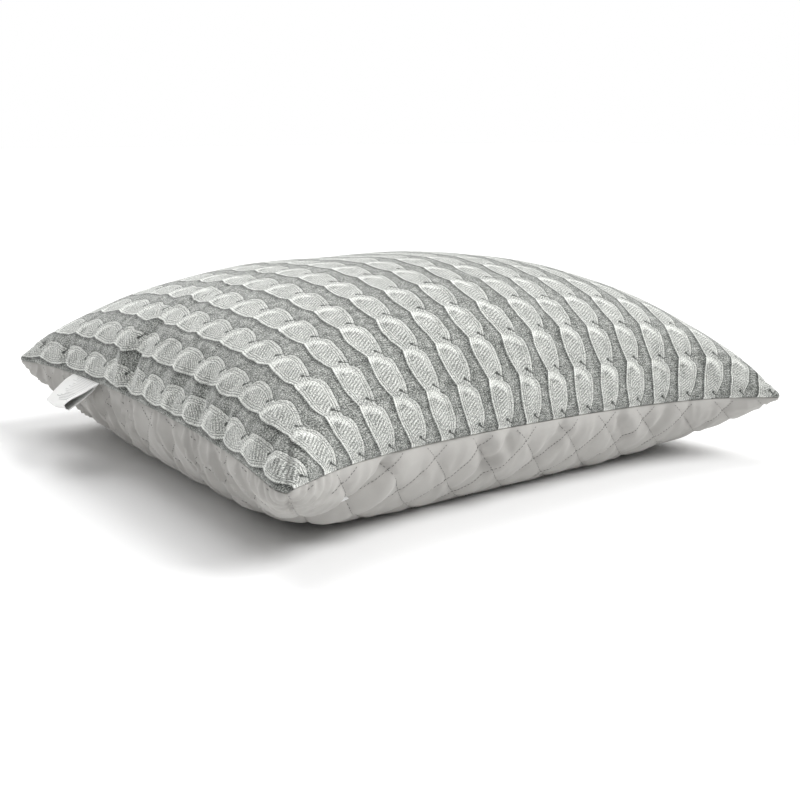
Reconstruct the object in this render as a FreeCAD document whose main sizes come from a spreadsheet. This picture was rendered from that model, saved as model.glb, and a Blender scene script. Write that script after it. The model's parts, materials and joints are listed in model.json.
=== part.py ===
"""Throw pillow: a printed face and a quilted face sewn in a knife-edge seam, a zip in the far
seam, a folded care label in the left seam, and a stuffed inner pillow in its own case.

Frame: millimetres, +Z up, origin at the middle of the flat patch that the pillow rests on.
The front edge runs along X at -Y, and the zip is in the far edge at +Y.
"""

import FreeCAD, Part
import math
import os
import Sketcher
from FreeCAD import Placement, Rotation, Vector

DIMENSIONS = {
    # finished cover
    "half_width": 215.0,
    "half_depth": 215.0,
    "crown_height": 146.0,
    # height of the seam at its four corners, and how far each edge arches above them
    "near_left_height": 54.7,
    "near_right_height": 44.7,
    "far_left_height": 58.1,
    "far_right_height": 56.7,
    "front_arch": 3.7,
    "side_arch": 7.7,
    "far_arch": 2.0,
    # how far the left edge sags below that, and how closely the sag keeps to the edge
    "left_sag": 4.0,
    "left_sag_power": 32.0,
    # how far the middle of each edge is pulled in, and how suddenly towards the corners
    "side_bow": 12.0,
    "front_bow": 31.0,
    "far_bow": 16.0,
    "bow_power": 3.5,
    "far_bow_power": 7.0,
    # roundness of the crown and of the belly, and the share of the belly that is cut flat
    "crown_power": 2.3,
    "crown_fullness": 0.42,
    "crown_lean_right": -0.04,
    "crown_lean_far": -0.14,
    "belly_power": 3.2,
    "belly_fullness": 0.43,
    "belly_level": 0.73,
    # layers
    "fabric_thickness": 1.0,
    "wadding_thickness": 4.0,
    "lining_thickness": 0.6,
    "case_thickness": 0.6,
    "layer_gap": 0.3,
    "seam_gap": 0.8,
    "seam_allowance": 12.0,
    "insert_inset": 15.0,
    # threads
    "seam_thread_width": 0.5,
    "overlock_width": 1.6,
    "overlock_height": 3.4,
    "quilt_pitch": 28.0,
    "quilt_thread_width": 0.6,
    "quilt_thread_height": 0.4,
    # zip
    "zip_length": 290.0,
    "tape_length": 328.0,
    "tape_width": 11.0,
    "tape_thickness": 0.6,
    "tape_setback": 4.4,
    "tape_edge": 1.0,
    "coil_diameter": 1.4,
    "coil_spacing": 2.6,
    "coil_stand_off": 0.05,
    "slot_height": 11.0,
    "slot_spare": 3.0,
    "slot_overcut": 1.0,
    "pocket_spare": 4.0,
    "stop_length": 4.0,
    "stop_height": 1.8,
    "stop_depth": 2.0,
    "slider_length": 10.0,
    "slider_width": 8.0,
    "slider_plate": 1.0,
    "slider_clearance": 0.3,
    "slider_post": 0.7,
    "slider_lip": 0.8,
    "slider_spare": 0.5,
    "lug_length": 2.4,
    "lug_span": 5.0,
    "pivot_rise": 1.5,
    "pivot_diameter": 1.2,
    "eye_bore": 1.32,
    "eye_diameter": 2.6,
    "eye_width": 2.8,
    "lug_slot": 3.0,
    "lug_overcut": 1.0,
    "pull_neck": 3.0,
    "pull_length": 24.0,
    "pull_width": 6.4,
    "pull_thickness": 1.2,
    "pull_hole": 3.0,
    "zip_thread_depth": 0.4,
    "zip_thread_height": 0.6,
    "zip_thread_offset": 9.0,
    "zip_thread_margin": 3.0,
    # care label
    "label_width": 52.0,
    "label_radius": 21.0,
    "label_droop_angle": 79.0,
    "label_thickness": 0.3,
    "label_fold_radius": 1.3,
    "label_seam_share": 0.43,
    "label_stand_off": 2.3,
    "label_tail_reach": 11.0,
    "label_tail_gap": 0.3,
}

GRID = 20  # control-net cells from one edge of the pillow to the other
RING = 10  # control-net cells from the seam down to the resting patch
EDGE_GRADING = 2.4  # packs the net's lines towards the steep edges
DEGREE = 3
SEW_TOLERANCE = 1e-4
SHARE_STEP = 0.01  # step along the seam for measuring its direction

doc = FreeCAD.newDocument("throw_pillow")
sheet = doc.addObject("Spreadsheet::Sheet", "Dimensions")
for row, (alias, number) in enumerate(DIMENSIONS.items(), 1):
    sheet.set(f"A{row}", alias)
    sheet.set(f"B{row}", str(number))
    sheet.setAlias(f"B{row}", alias)
doc.recompute()


class Dim:
    """A length with the expression that gives it, so that both are written once."""

    def __init__(self, value, text):
        self.value = float(value)
        self.text = text

    def _with(self, sign, other, value):
        return Dim(value, f"({self.text} {sign} {dim(other).text})")

    def __add__(self, other):
        return self._with("+", other, self.value + dim(other).value)

    def __sub__(self, other):
        return self._with("-", other, self.value - dim(other).value)

    def __mul__(self, other):
        return self._with("*", other, self.value * dim(other).value)

    def __truediv__(self, other):
        return self._with("/", other, self.value / dim(other).value)

    def __neg__(self):
        return Dim(-self.value, f"(-1 * {self.text})")


def dim(source):
    """A spreadsheet alias, a plain number or a Dim, as a Dim."""
    if isinstance(source, Dim):
        return source
    if isinstance(source, str):
        return Dim(sheet.get(source), f"Dimensions.{source}")
    return Dim(source, str(source))


def size(alias):
    """A driving dimension, read back from the spreadsheet."""
    return float(sheet.get(alias))


# ---------------------------------------------------------------------------
# The pillow's form. u and v run from -1 to 1 across the pillow, along X and Y.
# ---------------------------------------------------------------------------

FABRIC = size("fabric_thickness")
HALF_GAP = size("seam_gap") / 2
GAP = size("layer_gap")


def graded(cells):
    """Values from -1 to 1, packed towards both ends."""
    values = []
    for i in range(cells + 1):
        k = 2 * i / cells - 1
        values.append(math.copysign(1 - (1 - abs(k)) ** EDGE_GRADING, k))
    return values


STATIONS = graded(GRID)


def plan(u, v, inset):
    """Where (u, v) lies in plan, on an outline drawn in from the seam by inset."""
    side = size("side_bow") * (1 - abs(v) ** size("bow_power"))
    if v < 0:
        edge = size("front_bow") * (1 - abs(u) ** size("bow_power"))
    else:
        edge = size("far_bow") * (1 - abs(u) ** size("far_bow_power"))
    x = u * (size("half_width") - inset - side)
    y = v * (size("half_depth") - inset - edge)
    return x, y


def seam_height(u, v):
    """Height of the seam's surface: its corners differ, and its edges arch between them."""
    right, far = (1 + u) / 2, (1 + v) / 2
    near = size("near_left_height") * (1 - right) + size("near_right_height") * right
    back = size("far_left_height") * (1 - right) + size("far_right_height") * right
    across = size("front_arch") * (1 - far) ** 2 + size("far_arch") * far**2
    along = size("side_arch") * ((1 - right) ** 2 + right**2)
    sag = size("left_sag") * (1 - right) ** size("left_sag_power")
    return near * (1 - far) + back * far + across * (1 - u * u) + along * (1 - v * v) - sag


def swell(u, v, power, fullness):
    """0 on the seam, 1 in the middle."""
    across = max(0.0, 1 - abs(u) ** power)
    along = max(0.0, 1 - abs(v) ** power)
    return (across * along) ** fullness


def knots_for(count):
    """Degree, knots and their repeats for a curve clamped to its end points."""
    degree = min(DEGREE, count - 1)
    spans = count - degree
    knots = [i / spans for i in range(spans + 1)]
    return degree, knots, [degree + 1] + [1] * (spans - 1) + [degree + 1]


def net_face(rows):
    """A smooth face over a net of control points. Its edges depend only on the net's edges."""
    degree_a, knots_a, repeats_a = knots_for(len(rows))
    degree_b, knots_b, repeats_b = knots_for(len(rows[0]))
    surface = Part.BSplineSurface()
    surface.buildFromPolesMultsKnots(
        rows, repeats_a, repeats_b, knots_a, knots_b, False, False, degree_a, degree_b
    )
    return surface.toShape()


def net_edge(points):
    """The edge that net_face gives along a row of control points."""
    degree, knots, repeats = knots_for(len(points))
    curve = Part.BSplineCurve()
    curve.buildFromPolesMultsKnots(points, repeats, knots, False, degree)
    return curve.toShape()


SIDES = ("front", "right", "far", "left")


def side_point(side, along, ratio):
    """(u, v) on one of the four sides: along it from -1 to 1, and ratio of the way out."""
    if side == "front":
        return along * ratio, -ratio
    if side == "right":
        return ratio, along * ratio
    if side == "far":
        return -along * ratio, ratio
    return -ratio, -along * ratio


def outline(side, inset, lift):
    """Control points along one side of the seam outline, raised by lift."""
    points = []
    for along in STATIONS:
        u, v = side_point(side, along, 1.0)
        points.append(Vector(*plan(u, v, inset), seam_height(u, v) + lift))
    return points


def strip(inset_a, lift_a, inset_b, lift_b):
    """Four narrow faces that join two outlines all round the seam."""
    return [net_face([outline(s, inset_a, lift_a), outline(s, inset_b, lift_b)]) for s in SIDES]


def dome(inset, lift, top):
    """The crowned upper surface, from its outline up to top."""
    rows = []
    for u in STATIONS:
        row = []
        for v in STATIONS:
            base = seam_height(u, v) + lift
            rise = swell(u, v, size("crown_power"), size("crown_fullness"))
            lean = 1 + size("crown_lean_right") * u + size("crown_lean_far") * v
            row.append(Vector(*plan(u, v, inset), base + (top - base) * rise * lean))
        rows.append(row)
    return [net_face(rows)]


def patch_ratio(along):
    """How far out the belly meets its resting plane: the root of swell = belly_level."""
    power = size("belly_power")
    share = size("belly_level") ** (1 / size("belly_fullness"))
    corner = abs(along) ** power
    if corner < 1e-9:
        return (1 - share) ** (1 / power)
    total = 1 + corner
    root = (total - math.sqrt(total**2 - 4 * corner * (1 - share))) / (2 * corner)
    return root ** (1 / power)


def bowl(inset, lift, floor):
    """The belly from its outline down to floor, with the flat patch that it rests on last."""
    faces, rim = [], []
    for side in SIDES:
        rows = []
        for along in STATIONS:
            inner = patch_ratio(along)
            row = []
            for j in range(RING + 1):
                ratio = 1 - (1 - inner) * (j / RING) ** EDGE_GRADING
                u, v = side_point(side, along, ratio)
                base = seam_height(u, v) + lift
                fall = swell(u, v, size("belly_power"), size("belly_fullness"))
                share = 1.0 if j == RING else fall / size("belly_level")
                row.append(Vector(*plan(u, v, inset), base - (base - floor) * share))
            rows.append(row)
        faces.append(net_face(rows))
        rim.append(net_edge([row[-1] for row in rows]))
    return faces + [Part.Face(Part.Wire(rim))]


def closed(faces):
    """One solid bounded by the faces."""
    shell = Part.makeShell(faces)
    shell.sewShape(SEW_TOLERANCE)
    solid = Part.makeSolid(Part.Shell(shell.Faces))
    if solid.Volume < 0:
        solid.reverse()
    return solid


def feature(label, shape):
    """A sub-part whose form has no sketch or primitive."""
    part = doc.addObject("Part::Feature", label)
    part.Label = label
    part.Shape = shape
    part.Placement = Placement()
    return part


# ---------------------------------------------------------------------------
# Stations of the zip: the far wall, and the tapes just inside it
# ---------------------------------------------------------------------------

ZIP_HEIGHT = dim("far_left_height") / 2 + dim("far_right_height") / 2 + dim("far_arch")
FAR_WALL = dim("half_depth") - dim("far_bow")
TAPE_FRONT = FAR_WALL - dim("tape_setback")
BEYOND = 30.0


def far_box(below, above, depth):
    """The space that the zip takes out of the far side of the cover."""
    half_length = size("tape_length") / 2 + size("slot_spare")
    corner = Vector(-half_length, FAR_WALL.value - depth, ZIP_HEIGHT.value - below)
    return Part.makeBox(2 * half_length, depth + BEYOND, below + above, corner)


HALF_SLOT = size("slot_height") / 2
SLOT_DEPTH = size("insert_inset") + size("slot_overcut")
POCKET_DEPTH = size("insert_inset") - size("slot_overcut")
ZIP_SLOT = far_box(HALF_SLOT, HALF_SLOT, SLOT_DEPTH)
TAPE_POCKET = far_box(size("tape_width") + size("pocket_spare"), BEYOND, POCKET_DEPTH)


# ---------------------------------------------------------------------------
# Cover
# ---------------------------------------------------------------------------


def turned_in(sign):
    """The seam allowance of a face: sign is 1 for the upper face and -1 for the lower one."""
    allowance, near, deep = size("seam_allowance"), sign * HALF_GAP, sign * (HALF_GAP + FABRIC)
    faces = strip(0, near, allowance, near)
    faces += strip(allowance, near, allowance, deep)
    return faces + strip(allowance, deep, FABRIC, deep)


def make_faces():
    """Printed upper face and plain lower face, each with its seam allowance turned in."""
    top = size("crown_height")
    upper = dome(0, HALF_GAP, top) + dome(FABRIC, HALF_GAP + FABRIC, top - FABRIC)
    feature("top_panel", closed(upper + turned_in(1)).cut(ZIP_SLOT))
    lower = bowl(0, -HALF_GAP, 0) + bowl(FABRIC, -HALF_GAP - FABRIC, FABRIC)
    feature("back_face", closed(lower + turned_in(-1)).cut(ZIP_SLOT))


def make_back_layer(label, outer, thickness):
    """One layer of the quilted face, inside the outer fabric. Returns its inner inset."""
    lift = -HALF_GAP - FABRIC - GAP
    inner = outer + thickness
    faces = bowl(outer, lift, outer) + bowl(inner, lift, inner) + strip(outer, lift, inner, lift)
    feature(label, closed(faces).cut(TAPE_POCKET))
    return inner


def thread_ring(inset, width, height):
    """A closed thread line that follows the seam outline."""
    low, high, outer = -height / 2, height / 2, inset + width
    faces = strip(inset, low, inset, high) + strip(inset, high, outer, high)
    return closed(faces + strip(outer, high, outer, low) + strip(outer, low, inset, low))


def make_seam_threads():
    """Lockstitch of the cover's seam, and the serging over its allowances."""
    width = size("seam_thread_width")
    feature("seam_thread", thread_ring(FABRIC, width, width).cut(ZIP_SLOT))
    inset = size("seam_allowance") + GAP
    serging = thread_ring(inset, size("overlock_width"), size("overlock_height"))
    feature("overlock_thread", serging.cut(ZIP_SLOT))


def make_quilting(floor):
    """Crossing rows of stitching on the inside of the lining. Returns their top."""
    pitch, tall, width = (size(f"quilt_{name}") for name in ("pitch", "thread_height", "thread_width"))
    reach = size("half_width") + size("half_depth")
    bars = []
    for turn in (45, -45):
        for i in range(-int(reach / pitch), int(reach / pitch) + 1):
            corner = Vector(-reach, i * pitch - width / 2, floor)
            bar = Part.makeBox(reach * 2, width, tall, corner)
            bar.rotate(Vector(), Vector(0, 0, 1), turn)
            bars.append(bar)
    patch = bowl(floor, 0, floor)[-1].extrude(Vector(0, 0, tall))
    feature("quilting_thread", bars[0].fuse(bars[1:]).common(patch))
    return floor + tall


def make_insert(floor):
    """Inner case in two halves, the stitching between them, and the fill."""
    thick, inset = size("case_thickness"), size("insert_inset")
    top = size("crown_height") - FABRIC - GAP
    upper = dome(inset, GAP, top) + dome(inset + thick, GAP, top - thick)
    feature("insert_case_upper", closed(upper + strip(inset, GAP, inset + thick, GAP)))
    lower = bowl(inset, -GAP, floor) + bowl(inset + thick, -GAP, floor + thick)
    feature("insert_case_lower", closed(lower + strip(inset, -GAP, inset + thick, -GAP)))
    feature("insert_seam_thread", thread_ring(inset + GAP / 2, GAP, GAP))
    inside = inset + thick + GAP
    fill = dome(inside, 0, top - thick - GAP) + bowl(inside, 0, floor + thick + GAP)
    feature("fibre_fill", closed(fill))


# ---------------------------------------------------------------------------
# Helpers for the bound primitives and sketches
# ---------------------------------------------------------------------------


def bind(item, **values):
    """Sets properties to Dims, with their expressions."""
    for name, value in values.items():
        setattr(item, name, dim(value).value)
        item.setExpression(name, dim(value).text)


def bind_place(item, x, y, z):
    """Moves an object to a bound position and keeps its rotation."""
    places = [dim(p) for p in (x, y, z)]
    item.Placement = Placement(Vector(*[p.value for p in places]), item.Placement.Rotation)
    for axis, place in zip("xyz", places):
        item.setExpression(f"Placement.Base.{axis}", place.text)


def box(label, lengths, x, y, z):
    """A box whose lengths and lowest corner are bound to the spreadsheet."""
    part = doc.addObject("Part::Box", label)
    part.Label = label
    bind(part, Length=lengths[0], Width=lengths[1], Height=lengths[2])
    bind_place(part, x, y, z)
    return part


def group(label, members):
    """Several separate solids of one kind in one node."""
    part = doc.addObject("Part::Compound", label)
    part.Label = label
    part.Links = members
    return part


def body(label):
    """An empty PartDesign body."""
    part = doc.addObject("PartDesign::Body", label)
    part.Label = label
    return part


def sketch_on(part, role, name):
    """A sketch on one of a body's own origin planes."""
    sketch = part.newObject("Sketcher::SketchObject", name)
    plane = next(f for f in part.Origin.OriginFeatures if f.Role == role)
    sketch.AttachmentSupport = [(plane, "")]
    sketch.MapMode = "FlatFace"
    return sketch


def constrain(sketch, kind, place, value):
    """A bound distance from the sketch's origin, along X or Y, to a point of its geometry."""
    index = sketch.addConstraint(Sketcher.Constraint(kind, -1, 1, *place, value.value))
    sketch.setExpression(f"Constraints[{index}]", value.text)


def polygon(sketch, corners):
    """A closed outline through bound corners."""
    corners = [(dim(x), dim(y)) for x, y in corners]
    points = [Vector(x.value, y.value, 0) for x, y in corners]
    first = sketch.GeometryCount
    count = len(points)
    for i in range(count):
        sketch.addGeometry(Part.LineSegment(points[i], points[(i + 1) % count]))
    for i in range(count):
        following = first + (i + 1) % count
        sketch.addConstraint(Sketcher.Constraint("Coincident", first + i, 2, following, 1))
        constrain(sketch, "DistanceX", (first + i, 1), corners[i][0])
        constrain(sketch, "DistanceY", (first + i, 1), corners[i][1])


def circle(sketch, x, y, diameter):
    """A circle with a bound centre and diameter."""
    x, y, diameter = dim(x), dim(y), dim(diameter)
    centre = Vector(x.value, y.value, 0)
    index = sketch.addGeometry(Part.Circle(centre, Vector(0, 0, 1), diameter.value / 2))
    constrain(sketch, "DistanceX", (index, 3), x)
    constrain(sketch, "DistanceY", (index, 3), y)
    ring = sketch.addConstraint(Sketcher.Constraint("Diameter", index, diameter.value))
    sketch.setExpression(f"Constraints[{ring}]", diameter.text)


def extrude(part, kind, sketch, length):
    """A pad or pocket that reaches half its bound length each side of its sketch."""
    made = part.newObject(f"PartDesign::{kind}", f"{sketch.Name}_{kind}")
    made.Profile = sketch
    made.SideType = "Symmetric"
    bind(made, Length=length)
    part.Tip = made
    doc.recompute()
    return made


# ---------------------------------------------------------------------------
# Zip. Its bodies share a local frame: X along the coils, Y out of the pillow, Z up.
# ---------------------------------------------------------------------------

HALF_ZIP = dim("zip_length") / 2
COIL_FRONT = dim("coil_diameter") + dim("coil_stand_off")
PLATE_BACK = COIL_FRONT + dim("slider_clearance")
PLATE_FRONT = PLATE_BACK + dim("slider_plate")
PIVOT = PLATE_FRONT + dim("pivot_rise")
SLIDER_X = HALF_ZIP - dim("slider_length") / 2 - dim("slider_spare")


def make_tapes():
    """The two woven tapes, standing just inside the far wall."""
    lengths = ("tape_length", "tape_thickness", "tape_width")
    left, back = -dim("tape_length") / 2, TAPE_FRONT - dim("tape_thickness")
    box("zip_tape_upper", lengths, left, back, ZIP_HEIGHT + dim("tape_edge"))
    low = ZIP_HEIGHT - dim("tape_edge") - dim("tape_width")
    box("zip_tape_lower", lengths, left, back, low)


def make_coils():
    """The two nylon coils, as plain rods side by side along the tapes' edges."""
    half_spacing = dim("coil_spacing") / 2
    coil_middle = TAPE_FRONT + dim("coil_diameter") / 2 + dim("coil_stand_off")
    for label, height in (
        ("zip_coil_upper", ZIP_HEIGHT + half_spacing),
        ("zip_coil_lower", ZIP_HEIGHT - half_spacing),
    ):
        rod = doc.addObject("Part::Cylinder", label)
        rod.Label = label
        rod.Placement = Placement(Vector(), Rotation(Vector(0, 1, 0), 90))
        bind(rod, Radius=dim("coil_diameter") / 2, Height="zip_length")
        bind_place(rod, -HALF_ZIP, coil_middle, height)


def make_stops():
    """A stop on each coil at the closed end, and one across both at the open end."""
    tall, deep, long = dim("stop_height"), dim("stop_depth"), dim("stop_length")
    half_spacing = dim("coil_spacing") / 2
    ends = [
        box(f"top_stop_{name}", (long, deep, tall), HALF_ZIP, TAPE_FRONT, middle - tall / 2)
        for name, middle in (
            ("upper", ZIP_HEIGHT + half_spacing),
            ("lower", ZIP_HEIGHT - half_spacing),
        )
    ]
    group("zip_top_stops", ends)
    across = dim("coil_spacing") + tall
    box(
        "zip_bottom_stop",
        (long, deep, across),
        -HALF_ZIP - long,
        TAPE_FRONT,
        ZIP_HEIGHT - across / 2,
    )


def make_zip_stitching():
    """The line of thread that holds each tape to its side of the cover."""
    deep, tall = dim("zip_thread_depth"), dim("zip_thread_height")
    margin, offset = dim("zip_thread_margin"), dim("zip_thread_offset")
    lengths = (dim("tape_length") - margin - margin, deep, tall)
    left = -dim("tape_length") / 2 + margin
    rows = [
        box(f"zip_thread_{name}", lengths, left, TAPE_FRONT, middle - tall / 2)
        for name, middle in (("upper", ZIP_HEIGHT + offset), ("lower", ZIP_HEIGHT - offset))
    ]
    group("zip_stitching", rows)


def make_slider():
    """Slider body: two plates joined by a post, lips beside the coils, and the pull's lugs."""
    part = body("zip_slider")
    half, lip = dim("slider_width") / 2, dim("slider_lip")
    post, clearance = dim("slider_post") / 2, dim("slider_clearance")
    rear = -dim("tape_thickness") - clearance
    rear_back = rear - dim("slider_plate")
    section = sketch_on(part, "YZ_Plane", "slider_section")
    upper = [
        (rear_back, half),
        (rear, half),
        (rear, post),
        (PLATE_BACK, post),
        (PLATE_BACK, half - lip),
        (clearance, half - lip),
        (clearance, half),
        (PLATE_FRONT, half),
    ]
    lower = [(y, -dim(z)) for y, z in reversed(upper)]
    polygon(section, upper + lower)
    extrude(part, "Pad", section, "slider_length")
    half_lug = dim("lug_length") / 2
    lugs = sketch_on(part, "XY_Plane", "lugs")
    polygon(
        lugs,
        [
            (-half_lug, PLATE_FRONT),
            (half_lug, PLATE_FRONT),
            (half_lug, PIVOT + half_lug),
            (-half_lug, PIVOT + half_lug),
        ],
    )
    extrude(part, "Pad", lugs, "lug_span")
    beyond_lug = half_lug + dim("lug_overcut")
    slot = sketch_on(part, "XY_Plane", "lug_slot")
    polygon(
        slot,
        [
            (-beyond_lug, PLATE_FRONT),
            (beyond_lug, PLATE_FRONT),
            (beyond_lug, PIVOT + beyond_lug),
            (-beyond_lug, PIVOT + beyond_lug),
        ],
    )
    extrude(part, "Pocket", slot, "lug_slot")
    pin = sketch_on(part, "XY_Plane", "pivot_pin")
    circle(pin, 0, PIVOT, "pivot_diameter")
    extrude(part, "Pad", pin, "lug_span")
    bind_place(part, SLIDER_X, TAPE_FRONT, ZIP_HEIGHT)


def make_pull():
    """Pull tab: an eye on the slider's pin, a neck, and a holed plate lying back on the coils."""
    part = body("zip_pull")
    half_eye, half = dim("eye_width") / 2, dim("pull_width") / 2
    root = (dim("eye_bore") + dim("eye_diameter")) / 4
    neck, length = dim("pull_neck"), dim("pull_length")
    plate = sketch_on(part, "XZ_Plane", "pull_plate")
    polygon(
        plate,
        [
            (-root, -half_eye),
            (-neck, -half_eye),
            (-neck, -half),
            (half - length, -half),
            (-length, -half_eye),
            (-length, half_eye),
            (half - length, half),
            (-neck, half),
            (-neck, half_eye),
            (-root, half_eye),
        ],
    )
    circle(plate, half + 1 - length, 0, "pull_hole")
    extrude(part, "Pad", plate, "pull_thickness")
    eye = sketch_on(part, "XY_Plane", "pull_eye")
    circle(eye, 0, 0, "eye_diameter")
    extrude(part, "Pad", eye, "eye_width")
    bore = sketch_on(part, "XY_Plane", "pull_bore")
    circle(bore, 0, 0, "eye_bore")
    extrude(part, "Pocket", bore, dim("eye_width") + 2)
    bind_place(part, SLIDER_X, TAPE_FRONT + PIVOT, ZIP_HEIGHT)


# ---------------------------------------------------------------------------
# Care label, a loop of tape that leaves the left seam and droops from it
# ---------------------------------------------------------------------------


def label_frame():
    """Where the label leaves the seam: X runs out of the pillow and Y along the seam."""
    share, step = size("label_seam_share"), SHARE_STEP
    here, ahead, behind = (
        Vector(*plan(-1, v, 0), seam_height(-1, v)) for v in (share, share + step, share - step)
    )
    along = (ahead - behind).normalize()
    upright = (Vector(0, 0, 1) - along * along.z).normalize()
    return Placement(here, Rotation(along.cross(upright), along, upright, "ZYX"))


def seam_patch(low, high, inset_a, inset_b, half):
    """A flat strip held between the seam's two layers, from v = low to v = high."""
    shares = [low + (high - low) * i / RING for i in range(RING + 1)]
    lines = {
        (inset, lift): [Vector(*plan(-1, v, inset), seam_height(-1, v) + lift) for v in shares]
        for inset in (inset_a, inset_b)
        for lift in (-half, half)
    }
    corners = [(inset_a, -half), (inset_a, half), (inset_b, half), (inset_b, -half)]
    faces = [net_face([lines[a], lines[b]]) for a, b in zip(corners, corners[1:] + corners[:1])]
    for end in (0, -1):
        faces.append(Part.Face(Part.makePolygon([lines[c][end] for c in corners + corners[:1]])))
    return closed(faces)


def arc_ply(name, outer, sweep, place):
    """A curved ply of tape: part of a tube with a bound outer radius and sweep."""
    shells = []
    for suffix, radius in (("outer", outer), ("inner", outer - dim("label_thickness"))):
        shell = doc.addObject("Part::Cylinder", f"{name}_{suffix}")
        bind(shell, Radius=radius, Height="label_width", Angle=sweep)
        shell.Placement = place
        shells.append(shell)
    ply = doc.addObject("Part::Cut", name)
    ply.Base, ply.Tool = shells
    return ply


def make_label():
    """The free loop of the label, and its tails held in the seam."""
    radius, fold, stand_off = (size(f"label_{n}") for n in ("radius", "fold_radius", "stand_off"))
    droop = math.radians(size("label_droop_angle"))
    half_width = size("label_width") / 2
    across = Vector(0, 1, 0)
    outward = Vector(-math.sin(droop), 0, math.cos(droop))
    turned = Rotation(outward, across.cross(outward), across, "ZXY")
    centre = Vector(-stand_off, -half_width, -radius)
    plies = [
        arc_ply("label_upper", dim("label_radius") + dim("label_fold_radius"),
                "label_droop_angle", Placement(centre, turned)),
        arc_ply("label_lower",
                dim("label_radius") - dim("label_fold_radius") + dim("label_thickness"),
                "label_droop_angle", Placement(centre, turned)),
    ]
    flipped = Rotation(-outward, across.cross(-outward), across, "ZXY")
    tip = centre + outward * radius
    plies.append(arc_ply("label_fold", dim("label_fold_radius"), dim(180), Placement(tip, flipped)))
    loop = doc.addObject("Part::MultiFuse", "care_label")
    loop.Label = "care_label"
    loop.Shapes = plies
    loop.Placement = label_frame()
    share, reach = size("label_seam_share"), size("label_tail_reach")
    spread = half_width / size("half_depth")
    outer = size("label_tail_gap") - stand_off
    held = seam_patch(share - spread, share + spread, reach, outer, size("label_thickness"))
    feature("care_label_tails", held)


NODES = (
    "top_panel",
    "back_face",
    "back_wadding",
    "back_lining",
    "quilting_thread",
    "seam_thread",
    "overlock_thread",
    "insert_case_upper",
    "insert_case_lower",
    "insert_seam_thread",
    "fibre_fill",
    "zip_tape_upper",
    "zip_tape_lower",
    "zip_coil_upper",
    "zip_coil_lower",
    "zip_top_stops",
    "zip_bottom_stop",
    "zip_stitching",
    "zip_slider",
    "zip_pull",
    "care_label",
    "care_label_tails",
)


def export():
    """Stops if anything failed to build, then writes every node."""
    doc.recompute()
    for item in doc.Objects:
        if "Invalid" in item.State or "Error" in item.State:
            raise RuntimeError(f"{item.Label} did not build: {item.State}")
    os.makedirs("parts", exist_ok=True)
    for label in NODES:
        part = doc.getObjectsByLabel(label)[0]
        if part.Shape.isNull() or not part.Shape.isValid():
            raise RuntimeError(f"{label} has no valid shape")
        part.Shape.exportStep(f"parts/{label}.step")
        box_of = part.Shape.BoundBox
        print(
            f"{label:20s} solids {len(part.Shape.Solids):3d} volume {part.Shape.Volume:12.1f}  "
            f"x {box_of.XMin:7.1f} {box_of.XMax:7.1f}  y {box_of.YMin:7.1f} {box_of.YMax:7.1f}  "
            f"z {box_of.ZMin:6.1f} {box_of.ZMax:6.1f}"
        )


make_faces()
wadding_inside = make_back_layer("back_wadding", FABRIC + GAP, size("wadding_thickness"))
lining_inside = make_back_layer("back_lining", wadding_inside + GAP, size("lining_thickness"))
make_seam_threads()
quilting_top = make_quilting(lining_inside + GAP)
make_insert(quilting_top + GAP)
make_tapes()
make_coils()
make_stops()
make_zip_stitching()
make_slider()
make_pull()
make_label()
export()
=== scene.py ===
"""Looks of the throw pillow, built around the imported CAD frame. Metres, +Z up."""

import json
import math

import bpy
import numpy as np
from mathutils import Matrix, Vector


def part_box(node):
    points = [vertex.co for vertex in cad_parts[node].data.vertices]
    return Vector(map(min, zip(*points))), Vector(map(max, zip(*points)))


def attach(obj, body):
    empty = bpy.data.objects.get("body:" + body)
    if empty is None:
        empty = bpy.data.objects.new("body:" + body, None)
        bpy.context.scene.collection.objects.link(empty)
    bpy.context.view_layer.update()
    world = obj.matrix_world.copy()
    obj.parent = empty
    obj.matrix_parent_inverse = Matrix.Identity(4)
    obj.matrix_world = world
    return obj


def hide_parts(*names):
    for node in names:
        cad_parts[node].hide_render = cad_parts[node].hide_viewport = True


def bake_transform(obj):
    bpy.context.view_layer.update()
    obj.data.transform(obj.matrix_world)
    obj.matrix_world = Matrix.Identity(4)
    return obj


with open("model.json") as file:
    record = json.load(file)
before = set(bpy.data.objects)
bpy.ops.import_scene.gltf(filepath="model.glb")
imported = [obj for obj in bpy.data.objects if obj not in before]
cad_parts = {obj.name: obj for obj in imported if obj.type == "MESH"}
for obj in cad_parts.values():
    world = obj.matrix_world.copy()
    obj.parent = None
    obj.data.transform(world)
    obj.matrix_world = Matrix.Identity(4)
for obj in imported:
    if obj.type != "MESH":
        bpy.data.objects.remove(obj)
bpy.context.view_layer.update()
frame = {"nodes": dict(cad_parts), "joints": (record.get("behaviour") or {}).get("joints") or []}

MM = 0.001
_, COVER_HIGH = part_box("top_panel")
HALF_WIDTH, HALF_DEPTH = COVER_HIGH.x, COVER_HIGH.y

# ==== Form of the stuffed cover. u and v run from -1 to 1 along X and Y.

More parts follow.
